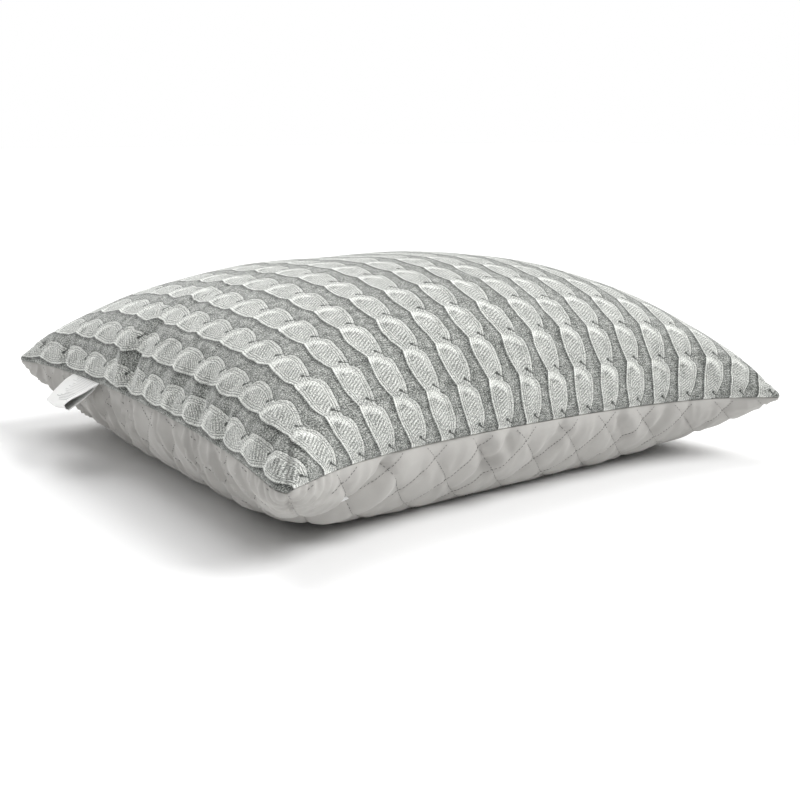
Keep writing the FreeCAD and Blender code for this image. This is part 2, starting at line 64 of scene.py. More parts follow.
HALF_FLAT = 228.5 * MM  # half the cover's side before it is stuffed
SIDE_BOW, FRONT_BOW, FAR_BOW = 12 * MM, 31 * MM, 16 * MM
BOW_POWER, FAR_BOW_POWER = 3.5, 7.0
NEAR_LEFT, NEAR_RIGHT, FAR_LEFT, FAR_RIGHT = 54.7 * MM, 44.7 * MM, 58.1 * MM, 56.7 * MM
FRONT_ARCH, SIDE_ARCH, FAR_ARCH = 3.7 * MM, 7.7 * MM, 2 * MM
LEFT_SAG, LEFT_SAG_POWER = 4 * MM, 32
CROWN_HEIGHT = 146 * MM
CROWN_POWER, CROWN_FULLNESS = 2.3, 0.42
CROWN_LEAN_RIGHT, CROWN_LEAN_FAR = -0.04, -0.14
BELLY_POWER, BELLY_FULLNESS, BELLY_LEVEL = 3.2, 0.43, 0.73
HALF_GAP = 0.4 * MM

GRID = 280  # cells across each face of the finished mesh
GRADING = 1.35  # packs them towards the seam

# zip opening in the far edge
_, TAPE_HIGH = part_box("zip_tape_upper")
SLOT_HALF_LENGTH = TAPE_HIGH.x + 9 * MM
SLOT_HALF_HEIGHT = 5.1 * MM
SLOT_TAPER = 9 * MM
SLOT_FADE = 16  # the higher, the nearer the far edge the opening keeps
TINY = 1e-12


def unit(vectors):
    """The same directions, of length one."""
    return vectors / np.maximum(np.linalg.norm(vectors, axis=-1, keepdims=True), TINY)


def graded(cells, power=GRADING):
    """Values from -1 to 1, packed towards both ends."""
    k = np.linspace(-1, 1, cells + 1)
    return np.sign(k) * (1 - (1 - np.abs(k)) ** power)


def face_grid(cells=GRID, power=GRADING):
    """u and v over a whole face."""
    stations = graded(cells, power)
    return np.meshgrid(stations, stations, indexing="ij")


def smoothstep(low, high, value):
    """0 below low and 1 above high, or the other way round when low is the greater."""
    t = np.clip((value - low) / (high - low), 0, 1)
    return t * t * (3 - 2 * t)


# how much of each corner is drawn in to a round tip: side of the left or right, near or far
TIPS = ((-1, -1, 0.095), (-1, 1, 0.03), (1, -1, 0.02), (1, 1, 0.03))


def rounded(u, v):
    """(u, v) with the four tips drawn in."""
    for side, end, reach in TIPS:
        a = np.clip(1 - (1 - u * side) / reach, 0, 1)
        b = np.clip(1 - (1 - v * end) / reach, 0, 1)
        drawn = np.maximum(a, b) / np.maximum(np.hypot(a, b), TINY)
        near = (a > 0) & (b > 0)
        u = np.where(near, side * (1 - reach * (1 - a * drawn)), u)
        v = np.where(near, end * (1 - reach * (1 - b * drawn)), v)
    return u, v


def plan(u, v):
    """Where (u, v) lies in plan."""
    u, v = rounded(u, v)
    side = SIDE_BOW * (1 - np.abs(v) ** BOW_POWER)
    near = FRONT_BOW * (1 - np.abs(u) ** BOW_POWER)
    far = FAR_BOW * (1 - np.abs(u) ** FAR_BOW_POWER)
    x = u * (HALF_WIDTH - side)
    y = v * (HALF_DEPTH - np.where(v < 0, near, far))
    return x, y


def seam_height(u, v):
    """Height of the seam's surface."""
    right, far = (1 + u) / 2, (1 + v) / 2
    near = NEAR_LEFT * (1 - right) + NEAR_RIGHT * right
    back = FAR_LEFT * (1 - right) + FAR_RIGHT * right
    across = FRONT_ARCH * (1 - far) ** 2 + FAR_ARCH * far**2
    along = SIDE_ARCH * ((1 - right) ** 2 + right**2)
    sag = LEFT_SAG * (1 - right) ** LEFT_SAG_POWER
    return near * (1 - far) + back * far + across * (1 - u * u) + along * (1 - v * v) - sag


def swell(u, v, power, fullness):
    """0 on the seam, 1 in the middle."""
    across = np.maximum(0, 1 - np.abs(u) ** power)
    along = np.maximum(0, 1 - np.abs(v) ** power)
    return (across * along) ** fullness


def slot_lift(u, v):
    """How far each face stands back from the zip's middle line."""
    x, _ = plan(u, v)
    ends = 1 - smoothstep(SLOT_HALF_LENGTH - SLOT_TAPER, SLOT_HALF_LENGTH, np.abs(x))
    return SLOT_HALF_HEIGHT * ends * np.clip((1 + v) / 2, 0, 1) ** SLOT_FADE


def crown(u, v):
    """The upper face."""
    base = seam_height(u, v) + HALF_GAP + slot_lift(u, v)
    rise = swell(u, v, CROWN_POWER, CROWN_FULLNESS)
    lean = 1 + CROWN_LEAN_RIGHT * u + CROWN_LEAN_FAR * v
    x, y = plan(u, v)
    return np.stack([x, y, base + (CROWN_HEIGHT - base) * rise * lean], -1)


def belly(u, v):
    """The lower face, flat where it rests."""
    base = seam_height(u, v) - HALF_GAP - slot_lift(u, v)
    fall = np.minimum(swell(u, v, BELLY_POWER, BELLY_FULLNESS) / BELLY_LEVEL, 1)
    x, y = plan(u, v)
    return np.stack([x, y, base * (1 - fall)], -1)


def lines_of(points):
    """Flat coordinates from -1 to 1 by length along both families of grid lines."""
    flat = []
    for axis in (0, 1):
        steps = np.linalg.norm(np.diff(points, axis=axis), axis=2)
        first = np.zeros_like(np.take(steps, [0], axis))
        run = np.concatenate([first, np.cumsum(steps, axis)], axis)
        flat.append(2 * run / np.take(run, [-1], axis) - 1)
    return flat


def normals_of(points, sign):
    """Outward unit normals of a grid of points."""
    along_u = np.gradient(points, axis=0)
    along_v = np.gradient(points, axis=1)
    return unit(np.cross(along_u, along_v) * sign)


NOISE_TABLE, NOISE_OFFSET = 64, (17.3, 29.7)


def soft_noise(x, y, cell, seed):
    """Smooth seeded noise from -1 to 1 with features of about one cell."""
    table = np.random.default_rng(seed).uniform(-1, 1, (NOISE_TABLE, NOISE_TABLE))
    gx, gy = x / cell + NOISE_OFFSET[0], y / cell + NOISE_OFFSET[1]
    ix, iy = np.floor(gx).astype(int), np.floor(gy).astype(int)
    fx, fy = gx - ix, gy - iy
    fx, fy = fx * fx * (3 - 2 * fx), fy * fy * (3 - 2 * fy)
    low, high = (
        table[(ix + i) % NOISE_TABLE, iy % NOISE_TABLE] * (1 - fy)
        + table[(ix + i) % NOISE_TABLE, (iy + 1) % NOISE_TABLE] * fy
        for i in (0, 1)
    )
    return low * (1 - fx) + high * fx


# ==== Meshes


def new_piece(name, vertices, faces, smooth=True):
    """A mesh object from lists or arrays."""
    mesh = bpy.data.meshes.new(name)
    mesh.from_pydata([tuple(p) for p in vertices], [], [tuple(f) for f in faces])
    mesh.update()
    if smooth:
        mesh.shade_smooth()
    piece = bpy.data.objects.new(name, mesh)
    bpy.context.scene.collection.objects.link(piece)
    return piece


def grid_faces(rows, columns, start=0, flip=False):
    """Quads over a rows by columns grid of vertex numbers."""
    number = np.arange(rows * columns).reshape(rows, columns) + start
    quads = np.stack([number[:-1, :-1], number[1:, :-1], number[1:, 1:], number[:-1, 1:]], -1)
    quads = quads.reshape(-1, 4)
    return quads[:, ::-1] if flip else quads


def rim_of(count):
    """Numbers of a square grid's vertices, once round its edge."""
    number = np.arange(count * count).reshape(count, count)
    return np.concatenate([number[:-1, 0], number[-1, :-1], number[:0:-1, -1], number[0, :0:-1]])


def add_flat_map(piece, per_vertex):
    """The UV map of each vertex's place on the flat fabric."""
    layer = piece.data.uv_layers.new(name="flat")
    corners = np.zeros(len(piece.data.loops), int)
    piece.data.loops.foreach_get("vertex_index", corners)
    layer.data.foreach_set("uv", per_vertex[corners].astype(np.float32).ravel())


def dress(piece, material, node):
    """Rides a piece on the pillow, gives it its material and lets it stand for its CAD node."""
    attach(piece, "pillow")
    piece.data.materials.clear()
    piece.data.materials.append(materials[material])
    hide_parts(node)


# ==== Materials


class Graph:
    """Writes shader maths as ordinary expressions."""

    def __init__(self, name, kind="materials", shader="Principled BSDF"):
        self.owner = getattr(bpy.data, kind).new(name)
        self.owner.use_nodes = True
        self.tree = self.owner.node_tree
        self.shader = self.tree.nodes[shader]

    def node(self, kind, inputs=None, **settings):
        made = self.tree.nodes.new(kind)
        for key, value in settings.items():
            setattr(made, key, value)
        for key, value in (inputs or {}).items():
            self.feed(made.inputs[key], value)
        return made

    def feed(self, socket, value):
        if isinstance(value, Term):
            self.tree.links.new(value.socket, socket)
        elif isinstance(value, bpy.types.NodeSocket):
            self.tree.links.new(value, socket)
        else:
            socket.default_value = value

    def maths(self, operation, *values, clamp=False):
        inputs = dict(enumerate(values))
        made = self.node("ShaderNodeMath", inputs, operation=operation, use_clamp=clamp)
        return Term(self, made.outputs[0])

    def split(self, vector):
        made = self.node("ShaderNodeSeparateXYZ", {0: vector})
        return [Term(self, out) for out in made.outputs]

    def flat_xy(self):
        """The two coordinates of the flat fabric's map."""
        return self.split(self.node("ShaderNodeUVMap", uv_map="flat").outputs[0])[:2]

    def place(self):
        """The piece's own coordinates, in metres."""
        return self.node("ShaderNodeTexCoord").outputs["Object"]

    def vector(self, x, y, z=0.0):
        return self.node("ShaderNodeCombineXYZ", {0: x, 1: y, 2: z}).outputs[0]

    def noise(self, vector, scale, detail=2.0, roughness=0.5):
        made = self.node(
            "ShaderNodeTexNoise",
            {"Vector": vector, "Scale": scale, "Detail": detail, "Roughness": roughness},
        )
        return Term(self, made.outputs["Fac"])

    def white(self, vector):
        made = self.node("ShaderNodeTexWhiteNoise", {"Vector": vector})
        return Term(self, made.outputs["Value"])

    def curve(self, value, points):
        """A smooth curve from 0 to 1 through a few points."""
        made = self.node("ShaderNodeFloatCurve", {"Value": value})
        line = made.mapping.curves[0]
        while len(line.points) < len(points):
            line.points.new(0.5, 0.5)
        for point, (x, y) in zip(line.points, points):
            point.location = (x, y)
        made.mapping.update()
        return Term(self, made.outputs[0])

    def step(self, low, high, value):
        """0 below low and 1 above high, or the other way round when low is the greater."""
        flip = low > high
        inputs = {"Value": value, "To Min": float(flip), "To Max": float(not flip)}
        inputs["From Min"], inputs["From Max"] = sorted((low, high))
        made = self.node("ShaderNodeMapRange", inputs, interpolation_type="SMOOTHSTEP")
        return Term(self, made.outputs[0])

    def mix(self, share, first, second):
        inputs = {0: share, 6: first, 7: second}  # its colour sockets
        return self.node("ShaderNodeMix", inputs, data_type="RGBA").outputs[2]

    def surface(self, colour, roughness, relief=None, **settings):
        """Connects the shader and returns the material. relief is height, distance, strength."""
        self.feed(self.shader.inputs["Base Color"], colour)
        self.feed(self.shader.inputs["Roughness"], roughness)
        if relief:
            inputs = dict(zip(("Height", "Distance", "Strength"), relief))
            self.feed(self.shader.inputs["Normal"], self.node("ShaderNodeBump", inputs).outputs[0])
        for name, value in settings.items():
            self.shader.inputs[SOCKETS[name]].default_value = value
        return self.owner


SOCKETS = {
    "metallic": "Metallic",
    "specular": "Specular IOR Level",
    "sheen": "Sheen Weight",
    "sheen_roughness": "Sheen Roughness",
}


def operator(kind, swapped=False):
    """A method of Term that adds one maths node."""
    if swapped:
        return lambda self, other: self.graph.maths(kind, other, self)
    return lambda self, *others: self.graph.maths(kind, self, *others)


class Term:
    """One value in a Graph, with arithmetic."""

    def __init__(self, graph, socket):
        self.graph = graph
        self.socket = socket

    __add__, __radd__ = operator("ADD"), operator("ADD", swapped=True)
    __sub__, __rsub__ = operator("SUBTRACT"), operator("SUBTRACT", swapped=True)
    __mul__, __rmul__ = operator("MULTIPLY"), operator("MULTIPLY", swapped=True)
    __truediv__ = operator("DIVIDE")
    fract = operator("FRACT")
    floor = operator("FLOOR")
    absolute = operator("ABSOLUTE")
    power = operator("POWER")
    largest = operator("MAXIMUM")
    smallest = operator("MINIMUM")

    def clamped(self):
        return self.graph.maths("ADD", self, 0.0, clamp=True)

    def stripes(self):
        """0 in the middle of each whole step of the value and 0.5 at its ends."""
        return (self.fract() - 0.5).absolute()


def grey(value, tint=(1.0, 1.0, 1.0)):
    """A colour from one linear value and a slight tint."""
    return (value * tint[0], value * tint[1], value * tint[2], 1.0)


# Layout of the print: counted from the flat cover's middle, in half widths
COLUMN_PITCH, COLUMN_START = 0.1113, 0.394
ROW_PITCH, ROW_START = 0.1297, -0.9781
ROW_STRETCH = 1.2
WARM, COOL = (0.985, 1.0, 0.955), (0.95, 1.0, 0.93)


def printed_fabric():
    """Smooth microfibre with a cable-knit picture printed on it."""
    g = Graph("printed_microfibre")
    across, along = g.flat_xy()
    place = g.vector(across, along)
    warp_a = (g.noise(place, 9) - 0.5) * 0.16
    warp_b = (g.noise(g.vector(along + 7, across), 9) - 0.5) * 0.12
    a = (across * 2 - 1 - COLUMN_START) / COLUMN_PITCH + warp_a
    # the rows grow longer towards the far left, where the fabric is stretched over the corner
    far = (along * 2 - 0.5).largest(0)
    left = ((1.5 - across * 2) / 1.5).clamped()
    b = (along * 2 - 1 - ROW_START) / ROW_PITCH - far * far * left * ROW_STRETCH + warp_b
    column = (a + 0.5).floor()
    p = a - column  # -0.5 to 0.5 across the column, hole at 0
    # the upper edge of each lobe, as a share of a row, against p from -0.5 to 0.5
    top_edge = g.curve(
        p + 0.5,
        [(0, 0.85), (0.13, 0.89), (0.25, 0.94), (0.4, 0.975), (0.5, 0.975), (0.6, 0.925),
         (0.7, 0.865), (0.8, 0.8), (0.88, 0.71), (1, 0.5)],
    )
    below = 1 - (b - top_edge).fract()  # 0 at the lobe's upper edge, 1 at its foot
    left_edge = g.curve(
        (b - 0.9).fract(),
        [(0, 0.15), (0.1, 0.115), (0.25, 0.08), (0.45, 0.062), (0.65, 0.07), (0.85, 0.105),
         (1, 0.15)],
    )
    right_edge = g.curve(
        (0.8 - b).fract(),
        [(0, 0.685), (0.03, 0.74), (0.06, 0.775), (0.12, 0.81), (0.22, 0.83), (0.4, 0.825),
         (0.6, 0.79), (0.72, 0.75), (0.82, 0.705), (0.91, 0.665), (0.97, 0.65), (1, 0.685)],
    )
    from_left = p + 0.47 - left_edge
    from_right = right_edge - (p + 0.54)
    inside = from_left.smallest(from_right)
    cable = g.step(-0.008, 0.008, inside)

    # ground: heathered speckle with dashed upright rows and short rungs, darker beside the lobes
    fine = g.vector(a, b * 1.165)
    speckle = g.noise(fine, 27, 2, 0.75)
    blotch = g.noise(fine, 5)
    rungs = (b * 15 + g.noise(fine, 3) * 2).stripes()
    rows_up = (a * 15 + g.noise(fine, 2) * 0.6).stripes()
    ground = 0.46 + (speckle - 0.5) * 2.1 + (blotch - 0.5) * 0.6
    ground = ground - g.step(0.16, 0, rungs) * 0.13 - g.step(0.14, 0, rows_up) * 0.09
    near_left = g.step(-0.15, -0.01, from_left) * g.step(0, -0.02, from_left)
    near_right = g.step(-0.07, -0.01, from_right) * g.step(0, -0.02, from_right)
    ground = ground - near_left * 0.23 - near_right * 0.06

    # lobe: stitches that follow its sides and slant across its middle, and a bright band of
    # ribs under its upper edge
    wobble = g.noise(fine, 4) * 0.9
    beside = (inside * 17 + wobble * 0.4).stripes()
    slanted = ((p * 0.55 - b) * 13.5 + wobble).stripes()
    middle = g.step(0.13, 0.24, inside)
    strokes = beside * (1 - middle) + slanted * middle
    gaps = g.noise(g.vector(a * 1.4, b * 1.165), 19, 1)
    rows = g.step(0.08, 0.4, strokes) * g.step(0.3, 0.58, gaps)
    knots = g.noise(fine, 38, 2, 0.7)
    ribs = g.step(0.1, 0.36, (p * 19 - b * 5).stripes())
    under = (below - 0.1 - (p + 0.33) * 0.42).absolute()
    band = g.step(0.13, 0.03, under) * g.step(0.22, 0.06, p)
    patch = g.step(0.13, 0.02, (p + 0.19).absolute())
    patch = patch * g.step(0.12, 0.01, (below - 0.26).absolute())
    beads = g.step(0.02, 0.3, (b * 21).stripes())
    left_rim = g.step(0.046, 0.03, from_left) * g.step(0.006, 0.02, from_left)
    right_rim = g.step(0.036, 0.022, from_right) * g.step(0, 0.012, from_right)
    lobe = 0.47 + rows * 0.38 + (knots - 0.5) * 1.9 + (g.noise(fine, 2.6) - 0.5) * 0.3
    lobe = lobe - patch * 0.13 + left_rim * (0.1 + beads * 0.2) + right_rim * 0.26
    lobe = lobe + band * (0.11 + ribs * 0.2)
    foot = g.step(0.86, 1, below) * g.step(-0.04, 0.06, p)
    lobe = lobe - foot * 0.1

    # hole at the middle of each lobe's upper edge, and the dark line from it to the ground
    seam_line = g.step(0.036, 0, below.smallest(1 - below)) * g.step(0, 0.04, p)
    hole_y = (b + 0.5).fract() - 0.5
    hole = (p * p + hole_y * hole_y * 1.6).power(0.5)
    hole = g.step(0.062, 0.022, hole + (g.noise(fine, 12) - 0.5) * 0.03)

    # dotted dark line outside the outline
    dots = g.step(0.1, 0.3, (b * 19).stripes())
    edge_dark = g.step(-0.03, -0.01, inside) * g.step(0.006, -0.004, inside) * (0.5 + dots * 0.5)

    tone = ground * (1 - cable) + lobe * cable
    tone = tone - edge_dark * 0.2 - seam_line * cable * 0.46
    tone = (tone * (1 - hole * 0.8)).clamped()
    ramp = g.node("ShaderNodeValToRGB", {"Fac": tone})
    stops = [(0, 0.03), (0.25, 0.115), (0.45, 0.25), (0.65, 0.47), (0.85, 0.7), (1, 0.88)]
    elements = ramp.color_ramp.elements
    while len(elements) < len(stops):
        elements.new(0.5)
    for element, (place_at, value) in zip(elements, stops):
        element.position = place_at
        element.color = grey(value, COOL if value < 0.45 else WARM)
    threads = g.noise(place, 900, 1)
    relief = (tone * 0.7 + threads * 0.3, 0.25 * MM, 0.35)
    return g.surface(ramp.outputs[0], 0.85, relief, specular=0.25, sheen=0.2, sheen_roughness=0.5)


WEAVE_COUNT = 700  # threads across the flat cover
TWISTS_PER_METRE = 1400


def plain_fabric():
    """Brushed warm-grey microfibre with a fine plain weave."""
    g = Graph("plain_microfibre")
    across, along = g.flat_xy()
    place = g.vector(across, along)
    nap = g.noise(place, 60, 3, 0.6)
    cloud = g.noise(place, 7)
    weave = (across * WEAVE_COUNT).stripes().largest((along * WEAVE_COUNT).stripes())
    share = (nap - 0.5) * 0.5 + (cloud - 0.5) * 0.35 + 0.5
    colour = g.mix(share.clamped(), (0.405, 0.395, 0.375, 1), (0.485, 0.475, 0.455, 1))
    relief = (weave * 0.6 + nap * 0.8, 0.2 * MM, 0.4)
    return g.surface(colour, 0.8, relief, specular=0.3, sheen=0.2, sheen_roughness=0.35)


def thread_material(name, value, tint=WARM):
    """Twisted polyester thread; painted shade in its grooves, painted highlight on its crests."""
    g = Graph(name)
    x, y, z = g.split(g.place())
    ply_relief_and_shade = ((x + y + z) * TWISTS_PER_METRE).stripes()
    # painted shade and highlight: darker in the twist's grooves, lighter on its crests, following
    # its relief
    colour = g.mix(ply_relief_and_shade * 1.6, grey(value * 0.7, tint), grey(value * 1.25, tint))
    return g.surface(colour, 0.6, (ply_relief_and_shade, 0.1 * MM, 0.6))


def cloth_material(name, value, pitch=0.5 * MM):
    """Plain woven or bonded cloth, by place, with painted shade between its threads."""
    g = Graph(name)
    x, y, z = g.split(g.place())
    weave = (x / pitch).stripes().largest(((y + z) / pitch).stripes())
    cloud = g.noise(g.place(), 60, 3)
    # random cloud tone, plus painted shade in the hollows between the raised threads of the weave
    share = (cloud * 0.7 + weave * 0.6).clamped()
    colour = g.mix(share, grey(value * 0.82, WARM), grey(value, WARM))
    return g.surface(colour, 0.8, (weave, 0.15 * MM, 0.5))


def fibre_material(name, value):
    """Loose white fibre."""
    g = Graph(name)
    place = g.place()
    strands = g.noise(place, 420, 4, 0.7)
    clumps = g.noise(place, 45, 3)
    colour = g.mix((strands * 0.6 + clumps * 0.4).clamped(), grey(value * 0.75), grey(value))
    return g.surface(colour, 0.9, (strands * 0.5 + clumps, 1.5 * MM, 0.6))


def enamel_material():
    """Grey enamelled zinc with small knocks on it."""
    g = Graph("zip_enamel")
    place = g.place()
    speck = g.noise(place, 900)
    wear = g.step(0.6, 0.72, g.noise(place, 260, 3))
    colour = g.mix(wear * 0.35, (0.16, 0.16, 0.155, 1), (0.42, 0.41, 0.4, 1))
    return g.surface(colour, 0.28 + wear * 0.2, (speck, 0.05 * MM, 0.3), metallic=0.55)


def nylon_material():
    """Grey nylon monofilament."""
    g = Graph("zip_nylon")
    streak = g.noise(g.place(), 700)
    colour = g.mix(streak, (0.2, 0.2, 0.195, 1), (0.3, 0.3, 0.29, 1))
    return g.surface(colour, 0.38, (streak, 0.05 * MM, 0.3))


def label_material():
    """White satin tape with plain grey bars where the wash instructions would be."""
    g = Graph("label_satin")
    along, across = g.flat_xy()  # along: 0 to 1 from seam to seam over the fold
    line = (along * 56).fract()
    row = (along * 56).floor()
    reach = g.white(g.vector(row, 3)) * 0.32 + 0.52
    word = g.step(0.18, 0.3, (across * 19 + row * 0.37).stripes())
    bars = g.step(0.18, 0.3, line) * g.step(0.8, 0.68, line) * (0.35 + word * 0.65)
    body = g.step(0.1, 0.12, across) * (1 - g.step(-0.01, 0.01, across - reach))
    zone = g.step(0.1, 0.12, along) * g.step(0.44, 0.42, along)
    heading = g.step(0.045, 0.05, along) * g.step(0.085, 0.08, along)
    heading = heading * g.step(0.12, 0.13, across) * g.step(0.46, 0.45, across)
    bold = g.step(0.31, 0.33, along) * 0.35
    ink = (bars * body * zone * (0.45 + bold) + heading * 0.8).clamped()
    satin = (across * 260).stripes()
    colour = g.mix(ink, (0.88, 0.88, 0.865, 1), (0.13, 0.13, 0.13, 1))
    return g.surface(colour, 0.42, (satin, 0.06 * MM, 0.4), sheen=0.15)


def floor_material():
    """Pale, nearly even floor."""
    g = Graph("studio_floor")
    grain = g.noise(g.place(), 3)
    return g.surface(g.mix(grain, grey(0.9), grey(0.92)), 0.7, specular=0.1)


# ==== Cloth simulation: the stuffed cover wrinkles, as its fabric is too long for its seam

SIM_CELLS, SIM_GRADING, SIM_FRAMES = 110, 1.25, 20
SIM_BLUR = 7
SIM_CLOTH = {
    "quality": 5, "mass": 0.05, "vertex_group_mass": "held",
    "tension_stiffness": 20, "compression_stiffness": 5,
    "shear_stiffness": 5, "bending_stiffness": 0.05,
    "tension_damping": 5, "compression_damping": 5,
    "shear_damping": 5, "bending_damping": 0.5, "air_damping": 2,
    "use_pressure": True, "uniform_pressure_force": 4,
    "shrink_min": -0.04,  # spare fabric
}


def blurred(field, reach):
    """A field smoothed over its grid, by repeated averaging of neighbours."""
    for _ in range(reach * reach // 2):
        padded = np.pad(field, 1, mode="edge")
        field = (
            padded[:-2, 1:-1] + padded[2:, 1:-1] + padded[1:-1, :-2] + padded[1:-1, 2:]
            + 4 * field
        ) / 8
    return field


def resampled(field):
    """A simulated field read on the finished grid, with a smooth cubic between its values."""
    place = np.interp(graded(GRID), graded(SIM_CELLS, SIM_GRADING), np.arange(SIM_CELLS + 1))
    low = np.clip(np.floor(place).astype(int), 0, SIM_CELLS - 1)
    near = [np.clip(low + k, 0, SIM_CELLS) for k in (-1, 0, 1, 2)]
    for axis in (0, 1):
        share = place - low
        a, b, c, d = (np.take(field, k, axis) for k in near)
        share = share[:, None] if axis == 0 else share[None, :]
        field = b + 0.5 * share * (
            c - a + share * (2 * a - 5 * b + 4 * c - d + share * (3 * (b - c) + d - a))
        )
    return field


def simulate_wrinkles():
    """How far each face's wrinkles stand out from its smooth form, on the finished grid."""
    u, v = face_grid(SIM_CELLS, SIM_GRADING)
    faces_of = (crown(u, v), belly(u, v))
    count = SIM_CELLS + 1
    start = np.concatenate([points.reshape(-1, 3) for points in faces_of])
    quads = [grid_faces(count, count, 0), grid_faces(count, count, count * count, flip=True)]
    bag = new_piece("cover_simulation", start, np.concatenate(quads))
    number = np.arange(count * count).reshape(count, count)
    edge = (np.abs(u) == 1) | (np.abs(v) == 1)
    resting = swell(u, v, BELLY_POWER, BELLY_FULLNESS) >= BELLY_LEVEL
    held = np.concatenate([number[edge], (number + count * count)[edge | resting]])
    group = bag.vertex_groups.new(name="held")
    group.add([int(i) for i in held], 1.0, "REPLACE")
    cloth = bag.modifiers.new("cloth", "CLOTH")
    for name, value in SIM_CLOTH.items():
        setattr(cloth.settings, name, value)
    cloth.settings.effector_weights.gravity = 0
    cloth.collision_settings.use_collision = False
    for moment in range(1, SIM_FRAMES + 1):
        bpy.context.scene.frame_set(moment)
    ready = bag.evaluated_get(bpy.context.evaluated_depsgraph_get())
    moved = np.zeros(len(start) * 3)
    ready.data.vertices.foreach_get("co", moved)
    moved = (moved.reshape(-1, 3) - start).reshape(2, count, count, 3)
    bpy.context.scene.frame_set(1)
    bpy.data.objects.remove(bag)
    wrinkles = []
    for shift, points, sign in zip(moved, faces_of, (1, -1)):
        height = (shift * normals_of(points, sign)).sum(-1)
        height = height - blurred(height, SIM_BLUR)
        wrinkles.append(resampled(blurred(height, 1)))
    return wrinkles


# ==== Cover

QUILT_PITCH = 28 * MM
QUILT_GROOVE, QUILT_GROOVE_WIDTH = 0.8 * MM, 1.5 * MM
QUILT_PUFF, PUFF_FULLNESS = 1.4 * MM, 0.6
RING_PITCH, RING_HEIGHT = 7 * MM, 1.1 * MM
BROAD_SPAN, BROAD_CELL, BROAD_HEIGHT = 230 * MM, 60 * MM, 1.4 * MM  # slow rise and fall
TOP_PLEATS = 1.2 * MM
FRONT_PLEATS, SIDE_PLEATS = 1.8 * MM, 8.0 * MM
TOP_WRINKLES, BACK_WRINKLES = 0.4, 0.3
LIPS = ((0.5 * MM, 0.25 * MM), (1.4 * MM, 0.36 * MM), (3.4 * MM, 0.2 * MM))

# creases of the upper face that run in from the left seam: place along it, length inwards,
# depth, half width and slant, in shares of half the cover but for the depth
CREASES = (
    (0.075, 0.36, 5.8 * MM, 0.026, -0.03),
    (-0.24, 0.24, 3.0 * MM, 0.020, -0.50),
    (-0.43, 0.18, 3.4 * MM, 0.020, 0.0),
    (-0.60, 0.16, 3.4 * MM, 0.020, 0.1),
    (-0.86, 0.22, 3.6 * MM, 0.022, 0.2),
    (0.62, 0.14, 2.6 * MM, 0.020, -0.1),
)

# tucks of the lower face that run down from the front seam, in the same terms
TUCKS = (
    (-0.60, 0.42, 6.0 * MM, 0.030, -0.75),
    (-0.28, 0.24, 3.4 * MM, 0.022, 0.60),
    (-0.13, 0.30, 4.0 * MM, 0.026, -0.70),
    (0.08, 0.24, 3.4 * MM, 0.022, -0.70),
    (0.30, 0.22, 3.0 * MM, 0.022, 0.60),
    (0.55, 0.24, 3.0 * MM, 0.022, -0.60),
)


FOLD_SPLAY, FOLD_SHARPNESS = 2, 1.5
RIDGE_PLACE, RIDGE_SPREAD, RIDGE_SHARE = 2.0, 1.6, 0.55  # beside the valley, and against it


def folded(inwards, along, folds):
    """Long folds with a sharp valley and a ridge beside it."""
    height = 0
    for place, length, depth, width, slant in folds:
        away = (along - place - slant * inwards) / (width * (1 + inwards * FOLD_SPLAY))
        fade = smoothstep(length, 0.25 * length, inwards) * smoothstep(0, 0.03, inwards)
        valley = np.exp(-np.abs(away) ** FOLD_SHARPNESS)
        ridge = np.exp(-((away - RIDGE_PLACE) ** 2) / RIDGE_SPREAD)
        height = height + depth * fade * (RIDGE_SHARE * ridge - valley)
    return height


SIDES_APART, ENDS_APART = 1.0, 3.0  # keep the noise of the four edges from repeating


def edge_distance(s, t):
    """Flat distance to the nearest edge, and the place along that edge."""
    to_side, to_end = (1 - np.abs(s)) * HALF_FLAT, (1 - np.abs(t)) * HALF_FLAT
    by_side = t * HALF_FLAT + np.sign(s) * SIDES_APART
    by_end = s * HALF_FLAT + np.sign(t) * ENDS_APART
    return np.minimum(to_side, to_end), np.where(to_side < to_end, by_side, by_end)


def quilt_height(s, t):
    """Puffs between the crossing rows of quilting, and the groove at each row."""
    x, y = s * HALF_FLAT, t * HALF_FLAT
    height, puff = 0, 1
    for sign in (1, -1):
        k = (x + sign * y) / math.sqrt(2) / QUILT_PITCH
        away = np.abs(k - np.round(k))
        height = height - QUILT_GROOVE * np.exp(-((away * QUILT_PITCH / QUILT_GROOVE_WIDTH) ** 2))
        puff = puff * np.sin(np.pi * away) ** PUFF_FULLNESS
    return height + QUILT_PUFF * puff


PLEAT_CELL, PLEAT_RUN, PLEAT_SHARPNESS = 8 * MM, 0.12, 0.6
WOBBLE_CELL, WOBBLE_RUN, PLEAT_WOBBLE = 30 * MM, 0.4, 9 * MM
DRIFT_CELL, PLEAT_DRIFT = 26 * MM, 0.5
PLEAT_REACH, LEFT_REACH = 30 * MM, 22 * MM  # the second is added at the left side


def pleats(s, t, side):
    """Narrow puckers that run in from the seam and fade."""
    nearest, along = edge_distance(s, t)
    wobble = soft_noise(along + side, nearest * WOBBLE_RUN, WOBBLE_CELL, seed=5) * PLEAT_WOBBLE
    drift = nearest * soft_noise(along, side + 0 * along, DRIFT_CELL, seed=9) * PLEAT_DRIFT
    wave = soft_noise(along + wobble + drift, nearest * PLEAT_RUN + side, PLEAT_CELL, seed=11)
    wave = 0.5 - np.abs(wave) ** PLEAT_SHARPNESS
    at_side = smoothstep(0.0, 0.06, np.abs(s) - np.abs(t))
    reach = PLEAT_REACH + LEFT_REACH * at_side * (s < 0)
    return wave * smoothstep(0, 5 * MM, nearest) * np.exp(-nearest / reach)


